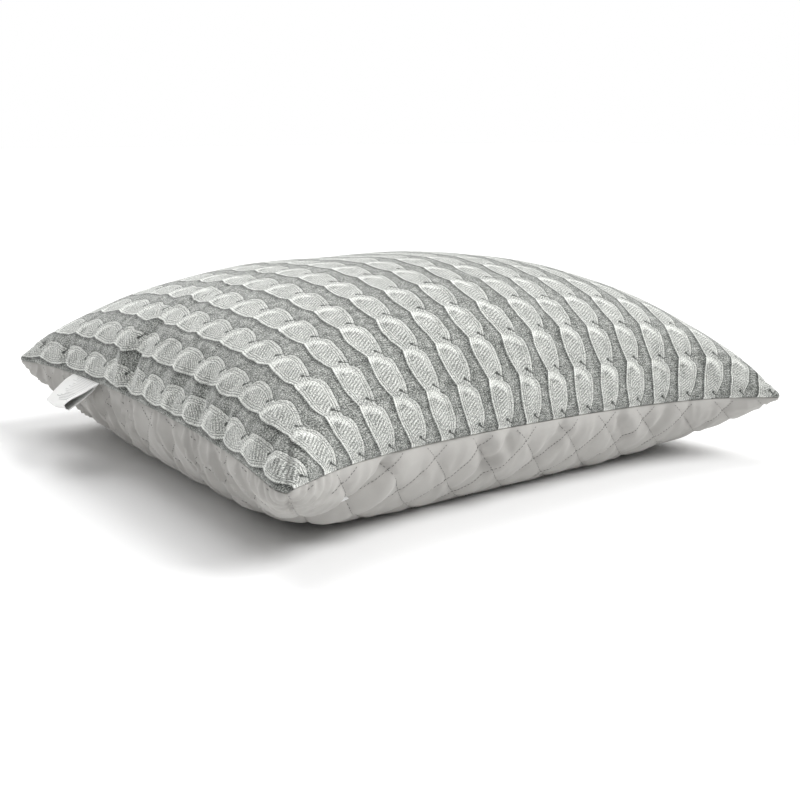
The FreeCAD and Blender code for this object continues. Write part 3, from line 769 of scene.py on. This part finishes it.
def cover_mesh(name, form, sign, relief, folds=()):
    """One face of the cover, its edges turned in at the seam. Its print follows the folds."""
    u, v = face_grid()
    points = form(u, v)
    s, t = lines_of(points)
    normals = normals_of(points, sign)
    lift = relief(u, v, s, t)
    if folds:
        s, t = lines_of(points + normals * folded(1 + s, t, folds)[..., None])
    points = points + normals * lift[..., None]
    points[..., 2] = np.maximum(points[..., 2], 0)
    count = GRID + 1
    vertices = [points.reshape(-1, 3)]
    flat = [np.stack([(s + 1) / 2, (t + 1) / 2], -1).reshape(-1, 2)]
    faces = [grid_faces(count, count, 0, sign < 0)]
    rim = rim_of(count)
    edge = vertices[0][rim]
    inward = -unit(edge[:, :2])
    total = count * count
    previous = rim
    for step_in, step_down in LIPS:
        ring = edge.copy()
        ring[:, :2] += inward * step_in
        ring[:, 2] -= sign * step_down
        fresh = np.arange(len(rim)) + total
        total += len(rim)
        vertices.append(ring)
        flat.append(flat[0][rim])
        strip = np.stack([previous, fresh, np.roll(fresh, -1), np.roll(previous, -1)], -1)
        faces.append(strip if sign > 0 else strip[:, ::-1])
        previous = fresh
    piece = new_piece(name, np.concatenate(vertices), np.concatenate(faces))
    add_flat_map(piece, np.concatenate(flat))
    return piece, points, s, t


def top_relief(u, v, s, t):
    """How far the upper face stands out from its smooth form."""
    nearest, _ = edge_distance(s, t)
    broad = soft_noise(s * BROAD_SPAN, t * BROAD_SPAN, BROAD_CELL, seed=21) * BROAD_HEIGHT
    height = broad * smoothstep(0, 50 * MM, nearest) + pleats(s, t, 0.0) * TOP_PLEATS
    height = height + folded(1 + s, t, CREASES)
    return height + top_wrinkles * TOP_WRINKLES


def back_relief(u, v, s, t):
    """The same for the lower face, with nothing where it rests."""
    nearest, _ = edge_distance(s, t)
    resting = smoothstep(0.0, 0.10, 1 - swell(u, v, BELLY_POWER, BELLY_FULLNESS) / BELLY_LEVEL)
    quilt = quilt_height(s, t) * smoothstep(0, 9 * MM, nearest)
    # deepest along the left side, but for its two tips
    at_side = smoothstep(0.66, 0.90, -s) * smoothstep(0.98, 0.70, np.abs(t))
    gathered = FRONT_PLEATS + (SIDE_PLEATS - FRONT_PLEATS) * at_side
    folds = pleats(s, t, 3.0) * gathered + back_wrinkles * BACK_WRINKLES
    folds = folds + folded(1 + t, s, TUCKS) + tip_rings(s, t)
    return (quilt + folds) * resting


def tip_rings(s, t):
    """Creases round the near left tip, where the lower face is drawn up over it."""
    away = np.hypot(1 + s, 1 + t) * HALF_FLAT
    rings = np.cos(away / RING_PITCH * 2 * math.pi + soft_noise(s, t, 0.1, seed=31))
    fade = smoothstep(6 * MM, 14 * MM, away) * smoothstep(58 * MM, 22 * MM, away)
    return rings * fade * RING_HEIGHT


# ==== Layers inside the cover

LAYER_GRID = 90


def layer(name, outer, inner, sign):
    """A closed shell between two grids of points."""
    count = outer.shape[0]
    total = count * count
    rim = rim_of(count)
    wall = np.stack([rim, rim + total, np.roll(rim, -1) + total, np.roll(rim, -1)], -1)
    faces = [
        grid_faces(count, count, 0, sign < 0),
        grid_faces(count, count, total, sign > 0),
        wall if sign > 0 else wall[:, ::-1],
    ]
    vertices = np.concatenate([outer.reshape(-1, 3), inner.reshape(-1, 3)])
    return new_piece(name, vertices, np.concatenate(faces))


def under_face(points, sign, near, far, keep):
    """Two grids under a face's points, near and far from it, up to a share of its width."""
    stations = graded(GRID)
    inside = np.where(np.abs(stations) <= keep)[0]
    chosen = inside[np.linspace(0, len(inside) - 1, LAYER_GRID + 1).astype(int)]
    grid = np.ix_(chosen, chosen)
    normal = normals_of(points, sign)[grid]
    return points[grid] - normal * near, points[grid] - normal * far


def shrunk_form(form, inset, drop):
    """A face of the inner pillow: the cover's form drawn in and pressed flatter."""
    u, v = face_grid(LAYER_GRID)
    points = form(u, v)
    middle = seam_height(u, v)
    share = 1 - inset / HALF_WIDTH
    points[..., :2] *= share
    lift = points[..., 2] - middle
    points[..., 2] = middle + lift * (1 - drop / np.max(np.abs(lift)))
    return points


# ==== Threads


def on_face(points, s_map, t_map, s, t):
    """Points of a face at flat coordinates (s, t)."""
    last = points.shape[0] - 1
    middle = last // 2
    i = np.interp(s, s_map[:, middle], np.arange(last + 1.0))
    j = np.interp(t, t_map[middle], np.arange(last + 1.0))

    def read(field):
        a, b = np.clip(i.astype(int), 0, last - 1), np.clip(j.astype(int), 0, last - 1)
        x, y = i - a, j - b
        if field.ndim == 3:
            x, y = x[:, None], y[:, None]
        near = field[a, b] * (1 - y) + field[a, b + 1] * y
        far = field[a + 1, b] * (1 - y) + field[a + 1, b + 1] * y
        return near * (1 - x) + far * x

    slope_s, slope_t = np.gradient(s_map, axis=0), np.gradient(t_map, axis=1)
    for _ in range(6):
        i = np.clip(i + (s - read(s_map)) / np.maximum(read(slope_s), 1e-4), 0, last)
        j = np.clip(j + (t - read(t_map)) / np.maximum(read(slope_t), 1e-4), 0, last)
    return read(points)


SPINDLE_SHOULDER = 0.6  # where its full width begins, as a share of its half length


def stitches(name, starts, ends, outward, radius):
    """One small spindle of thread for each start and end."""
    middle, half = (starts + ends) / 2, (ends - starts) / 2
    along = unit(half)
    side = unit(np.cross(along, outward))
    top = np.cross(side, along)
    rings = [middle - half]
    for place in (-SPINDLE_SHOULDER, SPINDLE_SHOULDER):
        for turn in range(4):
            angle = math.pi / 2 * turn
            offset = (side * math.cos(angle) + top * math.sin(angle)) * radius
            rings.append(middle + half * place + offset)
    rings.append(middle + half)
    vertices = np.stack(rings, 1).reshape(-1, 3)
    quads = [[1 + k, 1 + (k + 1) % 4, 5 + (k + 1) % 4, 5 + k] for k in range(4)]
    tips = [[0, 1 + (k + 1) % 4, 1 + k] for k in range(4)]
    tips += [[9, 5 + k, 5 + (k + 1) % 4] for k in range(4)]
    faces = []
    for n in range(len(starts)):
        faces += [[10 * n + k for k in f] for f in quads + tips]
    return new_piece(name, vertices, faces)


STITCH_PITCH, STITCH_LENGTH = 2.9 * MM, 2.0 * MM
QUILTING_PITCH, QUILTING_LENGTH, QUILTING_MARGIN = 2.35 * MM, 1.55 * MM, 2 * MM
QUILT_THREAD, SEAM_THREAD, SEAM_THREAD_INSET = 0.17 * MM, 0.2 * MM, 1 * MM
SEAM_SAMPLES, SEAM_STITCH_SHARE = 1201, 0.75  # along each side; of the pitch
DOWNWARDS = 0.12  # how far the lower face looks down, against its distance from the middle


def quilting_stitches(points, s_map, t_map):
    """Stitches along every crossing row."""
    half = HALF_FLAT
    span = QUILT_PITCH * math.sqrt(2)
    rows = []
    for sign in (1, -1):
        for k in range(-int(2 * half / span), int(2 * half / span) + 1):
            # the row x + sign * y = k * span, by x
            low = max(-half, k * span - half) + QUILTING_MARGIN
            high = min(half, k * span + half) - QUILTING_MARGIN
            x = np.arange(low, high, QUILTING_PITCH / math.sqrt(2))
            rows.append([x, (k * span - x) * sign, np.full_like(x, sign)])
    x, y, sign = np.concatenate(rows, axis=1)
    tips = []
    for far in (0, QUILTING_LENGTH / math.sqrt(2)):
        tip = on_face(points, s_map, t_map, (x + far) / half, (y - sign * far) / half)
        tip[:, 2] = np.maximum(tip[:, 2], QUILT_THREAD)
        tips.append(tip)
    first, last = tips
    outward = (first + last) / 2 * np.array([1, 1, 0]) + np.array([0, 0, -DOWNWARDS])
    return stitches("quilting_stitches", first, last, outward, QUILT_THREAD)


def seam_line():
    """Points all round the seam, a stitch apart, from the near left corner by the front edge."""
    k = np.linspace(-1, 1, SEAM_SAMPLES)
    one = np.ones_like(k)
    path = []
    for u, v in ((k, -one), (one, k), (-k, one), (-one, -k)):
        x, y = plan(u, v)
        path.append(np.stack([x, y, seam_height(u, v)], -1)[:-1])
    path = np.concatenate(path + [path[0][:1]])
    run = np.concatenate([[0], np.cumsum(np.linalg.norm(np.diff(path, axis=0), axis=1))])
    at = np.arange(0, run[-1], STITCH_PITCH)
    return np.stack([np.interp(at, run, path[:, axis]) for axis in range(3)], -1)


def seam_stitches():
    """Lockstitches seen between the two turned edges."""
    line = seam_line()
    slot = (line[:, 1] > 0.9 * HALF_DEPTH - FAR_BOW) & (np.abs(line[:, 0]) < SLOT_HALF_LENGTH)
    line[:, :2] -= unit(line[:, :2]) * SEAM_THREAD_INSET
    ahead = np.roll(line, -1, axis=0)
    first, last = line[~slot], (line + (ahead - line) * SEAM_STITCH_SHARE)[~slot]
    outward = np.tile([0.0, 0.0, 1.0], (len(first), 1))
    return stitches("seam_stitches", first, last, outward, SEAM_THREAD)


ASKEW = (0.31, 0.17, 0.94)  # a direction that no thread runs along


def tube(name, path, radius, sides):
    """A round thread along a path."""
    along = unit(np.gradient(path, axis=0))
    side = unit(np.cross(along, ASKEW))
    top = np.cross(side, along)
    angle = (np.arange(sides) * 2 * math.pi / sides)[None, :, None]
    ring = side[:, None] * np.cos(angle) + top[:, None] * np.sin(angle)
    vertices = (path[:, None] + ring * radius).reshape(-1, 3)
    number = np.arange(len(path) * sides).reshape(len(path), sides)
    ahead = np.roll(number, -1, axis=1)
    faces = np.stack([number[:-1], ahead[:-1], ahead[1:], number[1:]], -1).reshape(-1, 4)
    faces = [list(f) for f in faces] + [list(number[0][::-1]), list(number[-1])]
    return new_piece(name, vertices, faces)


# ==== Zip

COIL_PITCH, COIL_WIRE, COIL_STEPS = 1.35 * MM, 0.24 * MM, 10
TAPE_RIPPLE, TAPE_RIPPLE_CELL, TAPE_THINNING = 0.12 * MM, 14 * MM, 0.05 * MM


def coil(node, name):
    """A nylon coil wound in the space of its plain CAD rod."""
    low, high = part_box(node)
    middle, reach = (low + high) / 2, (high.z - low.z) / 2 - COIL_WIRE
    turns = (high.x - low.x) / COIL_PITCH
    angle = np.arange(0, turns * 2 * math.pi, 2 * math.pi / COIL_STEPS)
    x = low.x + angle / (2 * math.pi) * COIL_PITCH
    path = np.stack([x, middle.y + reach * np.cos(angle), middle.z + reach * np.sin(angle)], -1)
    piece = tube(name, path, COIL_WIRE, sides=5)
    dress(piece, "nylon", node)


def zip_tape(node, name):
    """A woven tape in the space of its CAD strip, with slack ripples along it."""
    low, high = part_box(node)
    across = np.linspace(low.z, high.z, LAYER_GRID + 1)
    x, z = np.meshgrid(np.linspace(low.x, high.x, LAYER_GRID + 1), across, indexing="ij")
    ripple = soft_noise(x, z * 0.5, TAPE_RIPPLE_CELL, seed=41) * TAPE_RIPPLE
    outer = np.stack([x, low.y + ripple, z], -1)
    inner = np.stack([x, high.y - TAPE_THINNING + ripple, z], -1)
    piece = layer(name, outer, inner, 1)
    dress(piece, "tape", node)


def zip_stitches():
    """The two rows that sew the tapes to the cover."""
    low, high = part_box("zip_stitching")
    radius = (high.y - low.y) / 2
    stations = np.arange(low.x, high.x - STITCH_LENGTH, STITCH_PITCH)
    levels = (low.z + radius, high.z - radius)
    first = np.array([(x, low.y + radius, z) for z in levels for x in stations])
    last = first + np.array([STITCH_LENGTH, 0, 0])
    outward = np.tile([0.0, 1.0, 0.0], (len(first), 1))
    piece = stitches("zip_tape_stitches", first, last, outward, radius)
    dress(piece, "grey", "zip_stitching")


# ==== Care label

LABEL_THICKNESS = 0.3 * MM
LABEL_FOLD = 1.3 * MM
LABEL_LENGTH = 26.5 * MM
LABEL_DROOP, LABEL_SAG = math.radians(47), 0.15
LABEL_LOOP = 2.4 * MM  # half the opening of the loop at its fold
LABEL_STAND_OFF = 2.3 * MM
LABEL_TAIL = 8 * MM
LABEL_WIDTH_SHARE, LABEL_SHIFT = 0.94, 4 * MM
LABEL_ROWS, LABEL_COLUMNS, LABEL_TURNS = 24, 24, 11
LABEL_SEAM_GAP, LABEL_END_GAP = 0.20 * MM, 0.18 * MM  # half the gap between its ends
LABEL_WAVE, LABEL_WAVES, LABEL_WAVE_DRIFT = 0.9 * MM, 5.2, 60
LABEL_TWIST, LABEL_SPREAD = math.radians(12), 0.08  # of its near edge against its far one


def label_frame():
    """Hinge point, directions into the pillow, along the seam and up, and the CAD width."""
    joint = next(j for j in frame["joints"] if j["name"] == "care_label_hinge")
    along = Vector(joint["axis"]).normalized()
    up = (Vector((0, 0, 1)) - along * along.z).normalized()
    reach = [v.co.dot(along) for v in frame["nodes"]["care_label"].data.vertices]
    return Vector(joint["pos_m"]), along.cross(up), along, up, max(reach) - min(reach)


def label_path():
    """The tape's middle line, as distances out from the hinge and up."""
    ply = LABEL_FOLD - LABEL_THICKNESS / 2

    def part_way(share):
        """Half the gap between the plies, at a share of the way to the fold."""
        return ply * smoothstep(0, 0.3, share) + (LABEL_LOOP - ply) * smoothstep(0.2, 1, share)

    shares = np.linspace(0, 1, LABEL_ROWS)
    angles = LABEL_DROOP * shares**LABEL_SAG
    step = LABEL_LENGTH / (len(shares) - 1)
    middle = np.cumsum(np.stack([np.cos(angles), -np.sin(angles)], -1) * step, axis=0)
    middle = middle - middle[0]
    across = np.stack([np.sin(angles), np.cos(angles)], -1)
    gap = part_way(shares)[:, None]
    over, under = middle + across * gap, middle - across * gap
    ahead = np.array([math.cos(LABEL_DROOP), -math.sin(LABEL_DROOP)])
    turn = [
        middle[-1] + across[-1] * math.cos(angle) * LABEL_LOOP + ahead * math.sin(angle) * ply
        for angle in np.linspace(0, math.pi, LABEL_TURNS)[1:-1]
    ]
    tail_end, tail_start = -LABEL_STAND_OFF - LABEL_TAIL, -LABEL_STAND_OFF
    path = [(tail_end, LABEL_END_GAP), (tail_start, LABEL_SEAM_GAP), *over, *turn, *under[::-1]]
    path += [(tail_start, -LABEL_SEAM_GAP), (tail_end, -LABEL_END_GAP)]
    return np.array([tuple(point) for point in path])


def care_label():
    """One strip of satin tape folded back on itself, both ends caught in the seam."""
    hinge, inward, along, up, width = label_frame()
    path = label_path()
    width *= LABEL_WIDTH_SHARE
    run = np.concatenate([[0], np.cumsum(np.linalg.norm(np.diff(path, axis=0), axis=1))])
    vertices, flat = [], []
    for across in np.linspace(0, 1, LABEL_COLUMNS + 1):
        for (out, lift), length in zip(path, run):
            free = smoothstep(0, 20 * MM, out)
            wave = LABEL_WAVE * math.sin(across * LABEL_WAVES + out * LABEL_WAVE_DRIFT) * free
            rise = (1 - across) * LABEL_TWIST * free
            longer = 1 + (1 - across) * LABEL_SPREAD * free
            reach = (out * math.cos(rise) - lift * math.sin(rise)) * longer
            height = (out * math.sin(rise) + lift * math.cos(rise)) * longer
            place = hinge - inward * reach + along * ((across - 0.5) * width - LABEL_SHIFT)
            vertices.append(place + up * (height + wave))
            flat.append((length / run[-1], across))
    faces = grid_faces(LABEL_COLUMNS + 1, len(path))
    piece = new_piece("care_label_tape", vertices, faces)
    add_flat_map(piece, np.array(flat))
    thick = piece.modifiers.new("thickness", "SOLIDIFY")
    thick.thickness = LABEL_THICKNESS
    thick.offset = 0
    ready = piece.evaluated_get(bpy.context.evaluated_depsgraph_get())
    mesh = bpy.data.meshes.new_from_object(ready)
    piece.modifiers.clear()
    piece.data = mesh
    piece.data.materials.append(materials["label"])
    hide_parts("care_label", "care_label_tails")
    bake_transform(piece)


# ==== Building the pillow

materials = {
    "print": printed_fabric(),
    "plain": plain_fabric(),
    "label": label_material(),
    "enamel": enamel_material(),
    "nylon": nylon_material(),
    "tape": cloth_material("zip_tape_weave", 0.20, pitch=0.7 * MM),
    "wadding": fibre_material("wadding_fibre", 0.86),
    "fill": fibre_material("fill_fibre", 0.9),
    "lining": cloth_material("lining_scrim", 0.75),
    "case": cloth_material("case_cloth", 0.82),
    "dark": thread_material("quilting_polyester", 0.11),
    "grey": thread_material("seam_polyester", 0.10),
}

LAYER_SHARE = 0.955  # of the cover's width that the wadding and lining reach
STITCH_PROUD = 0.1 * MM

top_wrinkles, back_wrinkles = simulate_wrinkles()

top_panel, _, _, _ = cover_mesh("top_panel_cloth", crown, 1, top_relief, CREASES)
dress(top_panel, "print", "top_panel")
back_face, back_points, back_s, back_t = cover_mesh("back_face_cloth", belly, -1, back_relief)
dress(back_face, "plain", "back_face")

LAYERS = (
    # name, node, slot and material, distances under the back face
    ("back_wadding_pad", "back_wadding", "wadding", 4.0 * MM, 7.4 * MM),
    ("back_lining_scrim", "back_lining", "lining", 7.7 * MM, 8.2 * MM),
)
for name, node, name_of_slot, near, far in LAYERS:
    outer, inner = under_face(belly(*face_grid()), -1, near, far, LAYER_SHARE)
    piece = layer(name, outer, inner, -1)
    dress(piece, name_of_slot, node)

CASE_INSET, CASE_DROP, CASE_CLOTH = 17 * MM, 11 * MM, 0.8 * MM
FILL_INSET, FILL_DROP = 19 * MM, 13 * MM
CASES = (
    ("insert_upper_cloth", "insert_case_upper", crown, 1),
    ("insert_lower_cloth", "insert_case_lower", belly, -1),
)
for name, node, form, sign in CASES:
    outer = shrunk_form(form, CASE_INSET, CASE_DROP)
    inner = shrunk_form(form, CASE_INSET + CASE_CLOTH, CASE_DROP + CASE_CLOTH)
    outer[..., 2] += sign * CASE_CLOTH / 2
    piece = layer(name, outer, inner, sign)
    dress(piece, "case", node)

halves = [shrunk_form(form, FILL_INSET, FILL_DROP) for form in (crown, belly)]
fill = layer("fibre_stuffing", *halves, 1)
dress(fill, "fill", "fibre_fill")

proud = back_points + normals_of(back_points, -1) * STITCH_PROUD
quilting = quilting_stitches(proud, back_s, back_t)
dress(quilting, "dark", "quilting_thread")
dress(seam_stitches(), "grey", "seam_thread")

coil("zip_coil_upper", "zip_upper_winding")
coil("zip_coil_lower", "zip_lower_winding")
zip_tape("zip_tape_upper", "zip_upper_tape")
zip_tape("zip_tape_lower", "zip_lower_tape")
zip_stitches()
care_label()

NODE_MATERIALS = {
    "zip_top_stops": "enamel",
    "zip_bottom_stop": "enamel",
    "zip_slider": "enamel",
    "zip_pull": "enamel",
    "overlock_thread": "grey",
    "insert_seam_thread": "case",
}
for node, material in NODE_MATERIALS.items():
    for slot_of in frame["nodes"][node].material_slots:
        slot_of.material = materials[material]

# ==== Studio

CAMERA_AZIMUTH, CAMERA_ELEVATION = math.radians(-36.27), math.radians(13.81)
CAMERA_DISTANCE = 0.872
CAMERA_SHIFT = (14.8 * MM, -23.0 * MM)
CAMERA_AIM_HEIGHT = 54.9 * MM
CAMERA_LENS, CAMERA_SENSOR = 49.9, 36


def place_camera():
    """The camera, looking down at the near left corner."""
    a, e = CAMERA_AZIMUTH, CAMERA_ELEVATION
    back = Vector((math.sin(a) * math.cos(e), -math.cos(a) * math.cos(e), math.sin(e)))
    right = Vector((math.cos(a), math.sin(a), 0))
    up = back.cross(right)
    data = bpy.data.cameras.new("camera")
    data.lens = CAMERA_LENS
    data.sensor_width = CAMERA_SENSOR
    camera = bpy.data.objects.new("camera", data)
    bpy.context.scene.collection.objects.link(camera)
    turn = Matrix((right, up, back)).transposed().to_4x4()
    place = back * CAMERA_DISTANCE + right * CAMERA_SHIFT[0] + up * CAMERA_SHIFT[1]
    place.z += CAMERA_AIM_HEIGHT
    camera.matrix_world = Matrix.Translation(place) @ turn
    bpy.context.scene.camera = camera


def sun(name, towards, energy, spread):
    """A broad soft light from the direction given."""
    data = bpy.data.lights.new(name, "SUN")
    data.energy = energy
    data.angle = math.radians(spread)
    light = bpy.data.objects.new(name, data)
    bpy.context.scene.collection.objects.link(light)
    light.rotation_euler = Vector(towards).to_track_quat("Z", "Y").to_euler()
    return light


WHITE = (1, 1, 1, 1)
SKY_LOW, SKY_HIGH = 0.04, 0.70
FLOOR_REACH = 12.0
LIGHTS = (
    # name, direction towards it, energy, spread in degrees
    ("key", (0.75, -0.55, 0.90), 2.6, 36),
    ("fill", (0.25, 0.75, 1.15), 1.6, 45),
    ("edge", (-0.60, 0.78, 0.14), 0.9, 8),
)


def studio():
    """Floor, sky, white backdrop and lights. The low edge light passes the floor by."""
    signs = ((-1, -1), (1, -1), (1, 1), (-1, 1))
    corners = [(x * FLOOR_REACH, y * FLOOR_REACH, 0) for x, y in signs]
    floor = new_piece("studio_floor", corners, [(0, 1, 2, 3)], smooth=False)
    floor.data.materials.append(floor_material())
    g = Graph("studio", "worlds", "Background")
    way = g.node("ShaderNodeTexCoord").outputs["Generated"]
    height = g.node("ShaderNodeSeparateXYZ", {0: way}).outputs["Z"]
    sky = {"Value": height, "To Min": SKY_LOW, "To Max": SKY_HIGH}
    g.feed(g.shader.inputs["Color"], WHITE)
    g.feed(g.shader.inputs["Strength"], g.node("ShaderNodeMapRange", sky).outputs[0])
    backdrop = g.node("ShaderNodeBackground", {"Color": WHITE}).outputs[0]
    seen = g.node("ShaderNodeLightPath").outputs["Is Camera Ray"]
    either = g.node("ShaderNodeMixShader", {0: seen, 1: g.shader.outputs[0], 2: backdrop})
    g.feed(g.tree.nodes["World Output"].inputs["Surface"], either.outputs[0])
    bpy.context.scene.world = g.owner
    bpy.context.scene.view_settings.view_transform = "Standard"
    lights = [sun(*row) for row in LIGHTS]
    unlit = bpy.data.collections.new("passed_by_edge_light")
    unlit.objects.link(floor)
    unlit.collection_objects[0].light_linking.link_state = "EXCLUDE"
    lights[-1].light_linking.receiver_collection = unlit


place_camera()
studio()
